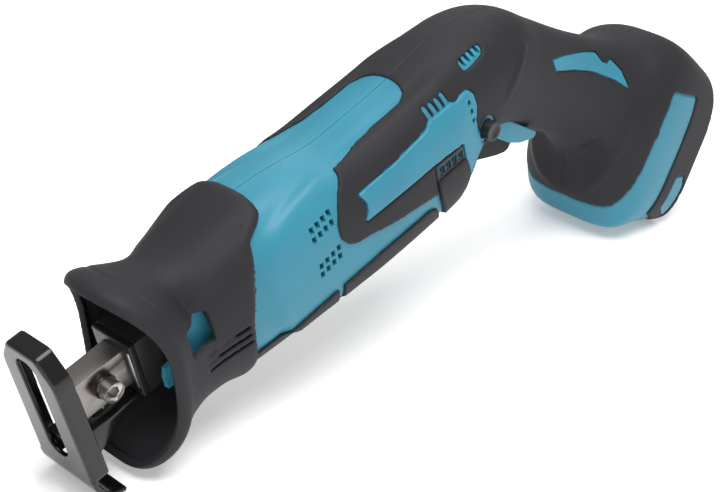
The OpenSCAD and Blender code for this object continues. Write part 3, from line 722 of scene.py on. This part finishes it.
class SAW_OT_housing(bpy.types.Operator):
    """Two teal shell halves with their air holes, trigger opening and screw wells"""
    bl_idname = "saw.housing"
    bl_label = "Housing"

    WELL_RADIUS = 3.0

    def execute(self, context):
        sizes = context.scene.saw_sizes
        cuts = [body(-sizes.wall, ends=4.0),
                side_prism(handle_xz(*TRIGGER_MOUTH), -MOUTH, MOUTH),
                rod(LOCK_RADIUS + 0.4, LOCK - Vector((0, FAR, 0)), LOCK + Vector((0, FAR, 0))),
                *vent_cuts()]
        cuts += [slot_cut(x, z, 1.9, 3.4) for x, z in LOUVRES_REAR + PANEL_SLOTS]
        cuts += [slot_cut(x, z, 2.6, 3.6) for x, z in REAR_VENTS]
        left_side = side_prism([(-500, -300), (200, -300), (200, 200), (-500, 200)], sizes.seam, FAR)
        half = carved(body(0.0), [("INTERSECT", left_side), *less(*cuts)])
        wells = [rod(self.WELL_RADIUS, (x, -FAR, z), (x, -reach, z)) for x, z, reach in SCREWS]
        right = carved(mirrored(half), less(*wells))
        neck = self.neck(sizes)
        other = mirrored(neck)
        teal = finishes().teal
        piece("housing_shell_left", joined(half, neck), teal, "tool", ["housing_left"])
        piece("housing_shell_right", joined(right, other), teal, "tool",
              ["housing_right"])
        return {"FINISHED"}

    def neck(self, sizes):
        """The left half of the housing's neck, which the boot covers."""
        rows = [(-74.0, 34.4, -45.5, -32.4, 24.2, 3.0, 3.0), (-60.0, 31.6, -41.0, -30.0, 23.0, 3.2, 3.2),
                (-44.0, 28.0, -38.0, -27.0, 21.0, 3.4, 3.4), (-8.0, 22.0, -8.0, -22.0, 17.6, 4.0, 4.0)]

        def outer(s, angle):
            return body_point(s, angle, 0.0, rows, lambda *place: 0.0)

        def inner(s, angle):
            beyond = Vector((-3, 0, 0)) if s == 0 else Vector((3, 0, 0)) if s == 3 else Vector()
            return body_point(s, angle, -sizes.wall, rows, lambda *place: 0.0) + beyond

        stations = [i / 4 for i in range(13)]
        left_side = side_prism(NECK_END, sizes.seam, FAR)
        return carved(loft(stations, outer, 72), [("INTERSECT", left_side),
                                                  *less(loft(stations, inner, 72))])


class SAW_OT_grips(bpy.types.Operator):
    """Rubber on both halves, moulded round the panels, the vents and the controls"""
    bl_idname = "saw.grips"
    bl_label = "Rubber Grips"

    def execute(self, context):
        sizes = context.scene.saw_sizes
        cuts = [top_prism(TONGUE, 16, FAR),
                side_prism(grown(PANEL, 0.45), 5, FAR, 0.7),
                side_prism(grown(LUMP, 0.3), 5, FAR),
                side_prism(grown(VENT, 0.2), 5, FAR),
                side_prism(grown(INLAY, 0.4), 5, FAR),
                side_prism(grown(BADGE, 0.35), 5, FAR),
                side_prism(REAR_POCKET, 5, FAR, 0.8),
                side_prism(handle_xz(*TRIGGER_MOUTH), -MOUTH - 0.5, MOUTH + 0.5),
                rod(LOCK_RADIUS + 1.9, LOCK, LOCK + Vector((0, FAR, 0)))]
        cuts += [slot_cut(x, z, 2.3, 5.6, lean=8) for x, z in LOUVRES_FRONT]
        left = skin(GRIP, sizes.skin, sizes.cell, cuts=cuts, corner=1.2, near=-0.25)
        wells = [rod(3.2, (x, -FAR, z), (x, -5, z)) for x, z, reach in (SCREWS[2], *SCREWS[4:])]
        right = carved(mirrored(left), less(*wells))
        piece("grip_rubber_left", left, finishes().rubber, "tool", ["grip_left"])
        piece("grip_rubber_right", right, finishes().rubber, "tool", ["grip_right"])
        return {"FINISHED"}


class SAW_OT_side_panels(bpy.types.Operator):
    """Teal panels let into the rubber, with the black vent and cover below them"""
    bl_idname = "saw.side_panels"
    bl_label = "Side Panels"

    def execute(self, context):
        cuts = [slot_cut(x, z, 1.9, 2.9) for x, z in PANEL_SLOTS]
        cuts.append(rod(LOCK_RADIUS + 1.9, LOCK, LOCK + Vector((0, FAR, 0))))
        cuts.append(side_prism(grown(VENT, 0.25), 5, FAR))
        panel = skin(PANEL, 1.5, 0.5, corner=0.7, cuts=cuts)
        vent = skin(VENT, 0.9, 0.42, corner=0.5, cuts=[slot_cut(x, z, 2.8, 4.2) for x, z in REAR_VENTS])
        lump = skin(LUMP, 2.2, 0.6, corner=1.2, ease=6)
        for name, bm, finish, slot, nodes in (
                ("side_panel_{}", panel, finishes().teal, "teal_plastic", ["side_panel_{}"]),
                ("side_vent_{}", vent, finishes().black, "black_plastic", []),
                ("side_cover_{}", lump, finishes().rubber, "black_plastic", [])):
            other = mirrored(bm)
            label = name if "panel" not in name else "panel_skin_{}"
            piece(label.format("left"), bm, finish, "tool", [n.format("left") for n in nodes])
            piece(label.format("right"), other, finish, "tool", [n.format("right") for n in nodes])
        return {"FINISHED"}


class SAW_OT_small_skins(bpy.types.Operator):
    """Handle inlays, the foot's band and badges, the cheeks over the trigger and the underside"""
    bl_idname = "saw.small_skins"
    bl_label = "Inlays and Bands"

    def execute(self, context):
        teal, rubber = finishes().teal, finishes().rubber
        rows = (
            ("inlay", [skin(INLAY, 0.9, 0.42, corner=0.5)], teal, "teal_plastic", ["handle_inlays"]),
            ("foot_band", [skin(BAND, 0.45, 0.62, corner=1.2, near=-0.25)], teal, "teal_plastic",
             ["foot_band"]),
            ("foot_badge", [skin(BADGE, 0.7, 0.42, corner=0.6)], teal, "teal_plastic", ["foot_badges"]),
            ("trigger_cheek", [rounded(side_prism(CHEEK, 10.8, 18.4, 1.2), 0.8, 50, 3)], teal,
             "teal_plastic", []),
            ("underside_front", [skin(UNDER_FRONT, 1.4, 0.6, corner=1.0)], rubber, "black_plastic",
             ["underside_front"]),
            ("underside_rear", [skin(UNDER_REAR, 1.4, 0.6, corner=1.0)], rubber, "black_plastic",
             ["underside_rear"]),
        )
        for name, parts, finish, slot, nodes in rows:
            half = joined(*parts)
            piece(name + "_pair", joined(half.copy(), mirrored(half)), finish, "tool", nodes)
            half.free()
        return {"FINISHED"}


# Rings of the boot, back to front: top point, bottom point, half width, corners below and above,
# and how far the middle of each side is drawn back.
BOOT = [
    (-73.0, 36.9, -44.0, -35.2, 26.9, 2.9, 2.9, 0.0),
    (-71.3, 37.4, -42.2, -35.6, 27.2, 2.9, 2.9, 0.0),
    (-52.0, 33.6, -34.0, -33.2, 26.0, 2.8, 2.8, 0.0),
    (-36.0, 31.0, -24.0, -32.6, 25.0, 2.8, 2.6, 1.5),
    (-25.0, 31.6, -15.0, -33.2, 25.0, 2.9, 2.5, 5.0),
    (-14.0, 35.4, -4.0, -35.4, 26.2, 3.1, 2.4, 9.0),
    (-6.0, 39.2, 6.0, -38.6, 27.8, 3.4, 2.4, 12.5),
    (1.0, 41.4, 13.5, -41.4, 29.4, 3.8, 2.4, 16.0),
    (3.2, 39.6, 15.4, -39.8, 28.0, 3.8, 2.4, 15.5),
]
WINDOW = [(-18.3, 15.4), (-32.4, 16.4), (-31.4, 1.6), (-17.4, 2.6)]
# The grooves beside the ribs: heights in the side view, and the half width at their floor.
RIB_HEIGHTS, RIB_FLOOR = (-3.0, -7.0, -11.0), 23.9
# Depths of the valley behind the visor and of the groove round the lip.
VALLEY, LIP_GROOVE = 5.0, 1.5


def boot_relief(x, y, z, turn):
    """The valley behind each side of the boot's visor."""
    return -VALLEY * bell(x, -24, 8.0) * bell(turn, 52, 22)


def rib_cuts():
    """Three shallow grooves along each side of the boot."""
    cuts = []
    for z in RIB_HEIGHTS:
        strip = [(-48, z + 0.9), (-24, z + 0.8), (-24, z - 0.8), (-48, z - 0.9)]
        cuts += [side_prism(strip, RIB_FLOOR, FAR), side_prism(strip, -FAR, -RIB_FLOOR)]
    return cuts


class SAW_OT_boot(bpy.types.Operator):
    """Rubber boot with a flared and grooved mouth, side windows and ribs"""
    bl_idname = "saw.boot"
    bl_label = "Front Boot"

    def execute(self, context):
        sizes = context.scene.saw_sizes

        def spot(s, angle):
            turn = abs(angle)
            groove = -LIP_GROOVE * bell(s, 6.0, 0.15) * smoothstep(86, 70, turn)
            pull = between(BOOT, s)[7] * math.sin(math.radians(turn)) ** 2
            pull -= swept(turn) * (1 - smoothstep(0.6, 2.6, s))
            return body_point(s, angle, groove, BOOT, boot_relief) - Vector((pull, 0, 0))

        last = len(BOOT) - 1
        sleeve = loft([last * i / 84 for i in range(85)], spot, 300, capped=False)
        bmesh.ops.solidify(sleeve, geom=sleeve.faces[:], thickness=-sizes.boot_wall)
        bmesh.ops.recalc_face_normals(sleeve, faces=sleeve.faces[:])
        cuts = [side_prism(WINDOW, -FAR, FAR, 1.0), *rib_cuts()]
        boot = carved(sleeve, less(*cuts), cell=0.66, ease=2)
        piece("boot_rubber", boot, finishes().rubber, "tool", ["front_boot"])
        return {"FINISHED"}


class SAW_OT_shoe(bpy.types.Operator):
    """Pressed steel shoe with folded sides, a blade slot and a curved tongue, and its arm"""
    bl_idname = "saw.shoe"
    bl_label = "Shoe"

    FRONT = 39.0
    DEPTH = 9.0

    def execute(self, context):
        steel = context.scene.saw_sizes.shoe
        front, back = self.FRONT, self.FRONT - self.DEPTH
        rim = [(-18.2, -30), (18.2, -30), (17.4, 24), (16.6, 28), (9.8, 38), (-9.8, 38), (-16.6, 28),
               (-17.4, 24)]
        outer = self.across(rim, back, front, 1.6)
        lead = [e for e in outer.edges if all(abs(v.co.x - front) < 1e-4 for v in e.verts)]
        bmesh.ops.bevel(outer, geom=lead, offset=2.3, segments=6, profile=0.5, affect="EDGES",
                        material=-1, clamp_overlap=True)
        hollow = self.across(grown(rim, -steel), back - 4, front - steel, 1.0)
        lead = [e for e in hollow.edges if all(abs(v.co.x - front + steel) < 1e-4 for v in e.verts)]
        bmesh.ops.bevel(hollow, geom=lead, offset=0.8, segments=3, profile=0.5, affect="EDGES",
                        material=-1, clamp_overlap=True)
        slot = self.across([(-6.2, -22), (6.2, -22), (6.2, 33), (-6.2, 33)], back - 6, front + 4, 5.6)
        open_foot = block((back - 6, -15.3, -40), (front - steel, 15.3, -24))
        tongue = self.tongue(steel)
        shoe = carved(outer, [*less(hollow, open_foot), ("UNION", tongue), *less(slot)], cell=0.5, ease=5)
        piece("shoe_pressed", shoe, finishes().paint, "tool", ["shoe_plate"], sharp=60)
        piece("shoe_arm_eased", copied("shoe_arm"), finishes().paint, "tool", ["shoe_arm"])
        return {"FINISHED"}

    def across(self, points, x0, x1, corner):
        """A prism along the stroke from an outline in the front view."""
        bm = outline(points, corner, 5)
        bmesh.ops.rotate(bm, verts=bm.verts[:], cent=(0, 0, 0),
                         matrix=Matrix.Rotation(math.radians(90), 3, "Z"))
        return drawn(bm, (x0, 0, 0), (x1, 0, 0))

    def tongue(self, steel):
        """The lower end of the shoe: a quarter round plate that carries on from its front."""
        radius, centre = 15.0, Vector((self.FRONT - 15.0, 0, -30.0))
        bm = bmesh.new()
        low = Vector((self.FRONT, 0, -29.0))
        strip = [bm.verts.new(low), bm.verts.new(low - Vector((steel, 0, 0)))]
        edge = bm.edges.new(strip)
        moved = bmesh.ops.extrude_edge_only(bm, edges=[edge])["geom"]
        bmesh.ops.translate(bm, verts=[g for g in moved if isinstance(g, bmesh.types.BMVert)],
                            vec=(0, 0, -1.0))
        end = [g for g in moved if isinstance(g, bmesh.types.BMEdge)
               and all(abs(v.co.z + 30) < 1e-4 for v in g.verts)]
        bmesh.ops.spin(bm, geom=end, cent=centre, axis=(0, 1, 0), angle=math.radians(84), steps=20)
        return drawn(bm, (0, -18.2, 0), (0, 18.2, 0))


def copied(node, edge=0.25):
    """A CAD node's mesh in the pattern, merged, with its edges eased."""
    bm = bmesh.new()
    bm.from_mesh(frame["nodes"][node].data)
    bm.transform(TO_ROW.inverted())
    bmesh.ops.remove_doubles(bm, verts=bm.verts[:], dist=0.001)
    bmesh.ops.dissolve_limit(bm, angle_limit=math.radians(0.5), verts=bm.verts[:], edges=bm.edges[:])
    if edge:
        rounded(bm, edge, 45, 2)
    return bm


class SAW_OT_slider(bpy.types.Operator):
    """Brushed slider bar with eased edges, and the blade clamp's collar and socket screw"""
    bl_idname = "saw.slider"
    bl_label = "Slider and Clamp"

    SCREW = Vector((14, 0, 2))

    def execute(self, context):
        piece("slider_bar", copied("slider", 0.55), finishes().steel, "slider", ["slider"])
        x, z = self.SCREW.x, self.SCREW.z
        head = rounded(rod(4.8, (x, 8.9, z), (x, 15, z), 56), 0.7, 60, 4)
        hexagon = rod(2.9, (x, 11.2, z), (x, 16, z), 6)
        dish = rod(2.6, (x, 14.4, z), (x, 15.4, z), 40, radius_end=4.1)
        shank = rod(2.5, (x, -4.5, z), (x, 9.2, z), 32)
        screw = carved(head, [*less(dish, hexagon), ("UNION", shank)])
        piece("clamp_socket_screw", screw, finishes().bright, "clamp_screw", ["clamp_screw"])
        # The collar gets the steel with painted shade: its dark brown colour stands for the shadow on it.
        collar = rounded(rod(5.6, (x, 6.05, z), (x, 9, z), 56), 0.5, 60, 3)
        collar = carved(collar, less(rod(2.6, (x, 5, z), (x, 10, z), 32)))
        piece("clamp_ring", collar, finishes().shaded_collar_steel, "clamp_screw", ["clamp_collar"])
        return {"FINISHED"}


class SAW_OT_nose(bpy.types.Operator):
    """The gearbox nose: tube, front cover and the steel wear strip beside the bar"""
    bl_idname = "saw.nose"
    bl_label = "Gearbox Nose"

    def execute(self, context):
        piece("nose_tube_eased", copied("nose_tube", 0.5), finishes().black, "tool",
              ["nose_tube"])
        plate = rounded(block((-3, -12.2, -14.2), (0.3, 12.2, 14.2)), 0.7, 40, 3)
        bar_window = block((-5, -6.4, -9.7), (2, 6.4, 9.7))
        arm_notch = block((-5, -9.2, -20), (2, 9.2, -13.6))
        cover = carved(plate, less(bar_window, arm_notch))
        piece("nose_cover_eased", cover, finishes().black, "tool", ["nose_cover"])
        strip = rounded(block((-1.5, 9.6, -9.5), (0.9, 11.0, 10.5)), 0.35, 40, 2)
        piece("wear_strip", strip, finishes().bright, "tool")
        return {"FINISHED"}


class SAW_OT_controls(bpy.types.Operator):
    """Trigger and lock-off button"""
    bl_idname = "saw.controls"
    bl_label = "Controls"

    LEVER_HALF = 9.2

    def execute(self, context):
        face = handle_xz((139, 174), (128, 174), (125.5, 177), (128, 184), (131, 192), (134, 198),
                         (136.5, 200), (143, 200), (144.5, 197), (144.5, 176))
        lever = rounded(side_prism(face, -self.LEVER_HALF, self.LEVER_HALF, 1.0), 1.1, 50, 4)
        piece("trigger_lever", lever, finishes().rubber, "trigger", ["trigger"])
        pin = rod(LOCK_RADIUS, LOCK + Vector((0, -27.4, 0)), LOCK + Vector((0, 32.8, 0)), 56)
        waist = carved(rod(LOCK_RADIUS + 2, LOCK + Vector((0, -6, 0)), LOCK + Vector((0, 6, 0)), 56),
                       less(rod(LOCK_RADIUS - 1.4, LOCK + Vector((0, -8, 0)), LOCK + Vector((0, 8, 0)), 40)))
        dish = bmesh.new()
        bmesh.ops.create_uvsphere(dish, u_segments=40, v_segments=20, radius=9.0)
        bmesh.ops.translate(dish, verts=dish.verts[:], vec=LOCK + Vector((0, 41.2, 0)))
        button = rounded(carved(pin, less(waist, dish)), 0.6, 50, 3)
        piece("lock_off_pin", button, finishes().black, "lock_off", ["lock_off_button"])
        return {"FINISHED"}


class SAW_OT_inner_works(bpy.types.Operator):
    """Finishes for the working parts that keep the frame's own shape"""
    bl_idname = "saw.inner_works"
    bl_label = "Working Parts"

    def execute(self, context):
        made = finishes()
        by_finish = {
            made.cast: ["gear_case"],
            made.bronze: ["guide_front", "guide_rear", "brush_holders"],
            made.black: ["dust_seal", "cooling_fan", "motor_end_bell", "switch_body", "terminal_block",
                         "battery_rails"],
            made.bright: ["crank_gear", "crank_roller", "crank_bearing", "pinion", "motor_shaft",
                          "bearing_front", "bearing_rear", "switch_plunger", "housing_screws",
                          "shoe_screws"],
            made.copper: ["armature_windings", "commutator", "terminal_blades"],
            made.core: ["armature_core", "motor_can", "stator_magnets"],
            made.board: ["control_board"],
            made.carbon: ["carbon_brushes"],
            made.teal: ["screw_posts", "rear_vents"],
            made.rubber: ["power_leads"],
        }
        for material, names in by_finish.items():
            for name in names:
                slots = frame["nodes"][name].data.materials
                slots.clear()
                slots.append(material)
        plain = [n for n, o in frame["nodes"].items()
                 if not o.hide_render and not any(n in names for names in by_finish.values())]
        if plain:
            raise RuntimeError(f"no finish for {plain}")
        return {"FINISHED"}


class StageSettings(bpy.types.PropertyGroup):
    """Camera and light."""

    lens: FloatProperty(name="Lens", description="Focal length in millimetres", default=81.7)
    key: FloatProperty(name="Key", description="Power of the overhead light", default=16.0, unit="POWER")
    fill: FloatProperty(name="Fill", description="Power of the front light", default=2.0, unit="POWER")
    world: FloatProperty(name="Surround", description="Brightness of the room", default=0.45)


class SAW_OT_stage(bpy.types.Operator):
    """Pale floor, soft lights and the camera"""
    bl_idname = "saw.stage"
    bl_label = "Stage"

    CAMERA = Vector((230.8, 457.8, 457.3))
    RIGHT = Vector((-0.6759, 0.7194, -0.1598))
    AHEAD = Vector((-0.4797, -0.5942, -0.6456))

    def execute(self, context):
        stage = context.scene.saw_stage
        self.floor()
        self.camera(context, stage.lens)
        self.light("key_light", (0.10, 0.25, 1.1), (0.0, 0.0, 0.05), 0.9, stage.key)
        self.light("fill_light", (0.9, 0.7, 0.35), (0.05, 0.0, 0.05), 0.8, stage.fill)
        self.light("back_light", (-0.7, -0.6, 0.8), (-0.05, 0.0, 0.05), 0.6, stage.fill)
        world = bpy.data.worlds.new("studio")
        context.scene.world = world
        context.scene.view_settings.view_transform = "Standard"
        world.use_nodes = True
        background = world.node_tree.nodes["Background"]
        background.inputs["Color"].default_value = (1.0, 1.0, 1.0, 1.0)
        background.inputs["Strength"].default_value = stage.world
        return {"FINISHED"}

    def floor(self):
        bm = bmesh.new()
        bmesh.ops.create_grid(bm, x_segments=8, y_segments=8, size=4.0)
        mesh = bpy.data.meshes.new("floor")
        bm.to_mesh(mesh)
        bm.free()
        material = bpy.data.materials.new("pale_floor")
        material.use_nodes = True
        tree = material.node_tree
        shader = tree.nodes["Principled BSDF"]
        shader.inputs["Roughness"].default_value = 0.7
        shader.inputs["Emission Color"].default_value = (1.0, 1.0, 1.0, 1.0)
        shader.inputs["Emission Strength"].default_value = 0.25
        where = tree.nodes.new("ShaderNodeTexCoord").outputs["Object"]
        base = blended(tree, noise(tree, where, 9.0), (0.92, 0.92, 0.92), (0.95, 0.95, 0.95))
        tree.links.new(base, shader.inputs["Base Color"])
        mesh.materials.append(material)
        floor = bpy.data.objects.new("floor", mesh)
        bpy.context.scene.collection.objects.link(floor)

    def camera(self, context, lens):
        data = bpy.data.cameras.new("camera")
        data.lens, data.sensor_width = lens, 36.0
        data.clip_start, data.clip_end = 0.01, 50.0
        turn = TO_ROW.to_3x3().normalized()
        right, ahead = turn @ self.RIGHT, turn @ self.AHEAD
        up = right.cross(ahead)
        axes = Matrix((right, up, -ahead)).transposed().to_4x4()
        camera = bpy.data.objects.new("camera", data)
        camera.matrix_world = Matrix.Translation(TO_ROW @ self.CAMERA) @ axes
        context.scene.collection.objects.link(camera)
        context.scene.camera = camera

    def light(self, name, place, aim, size, power):
        data = bpy.data.lights.new(name, "AREA")
        data.shape, data.size, data.energy = "DISK", size, power
        lamp = bpy.data.objects.new(name, data)
        lamp.location = place
        lamp.rotation_mode = "QUATERNION"
        lamp.rotation_quaternion = (Vector(aim) - Vector(place)).to_track_quat("-Z", "Y")
        bpy.context.scene.collection.objects.link(lamp)


class SAW_PT_panel(bpy.types.Panel):
    """Sizes, colours and build steps of the saw"""
    bl_idname = "SAW_PT_panel"
    bl_label = "Reciprocating Saw"
    bl_space_type = "VIEW_3D"
    bl_region_type = "UI"
    bl_category = "Saw"

    def draw(self, context):
        for group in (context.scene.saw_sizes, context.scene.saw_colours, context.scene.saw_stage):
            box = self.layout.box()
            for name in group.__annotations__:
                box.prop(group, name)
        for step in STEPS:
            self.layout.operator(step.bl_idname)


GROUPS = (SawSizes, SawColours, StageSettings)
STEPS = (SAW_OT_housing, SAW_OT_grips, SAW_OT_side_panels, SAW_OT_small_skins, SAW_OT_boot, SAW_OT_shoe,
         SAW_OT_slider, SAW_OT_nose, SAW_OT_controls, SAW_OT_inner_works, SAW_OT_stage)


def register():
    for cls in (*GROUPS, *STEPS, SAW_PT_panel):
        bpy.utils.register_class(cls)
    bpy.types.Scene.saw_sizes = PointerProperty(type=SawSizes)
    bpy.types.Scene.saw_colours = PointerProperty(type=SawColours)
    bpy.types.Scene.saw_stage = PointerProperty(type=StageSettings)


def unregister():
    del bpy.types.Scene.saw_stage, bpy.types.Scene.saw_colours, bpy.types.Scene.saw_sizes
    for cls in reversed((*GROUPS, *STEPS, SAW_PT_panel)):
        bpy.utils.unregister_class(cls)


def build():
    """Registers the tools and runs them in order."""
    register()
    for step in STEPS:
        group, name = step.bl_idname.split(".")
        getattr(getattr(bpy.ops, group), name)()


if __name__ == "__main__":
    build()
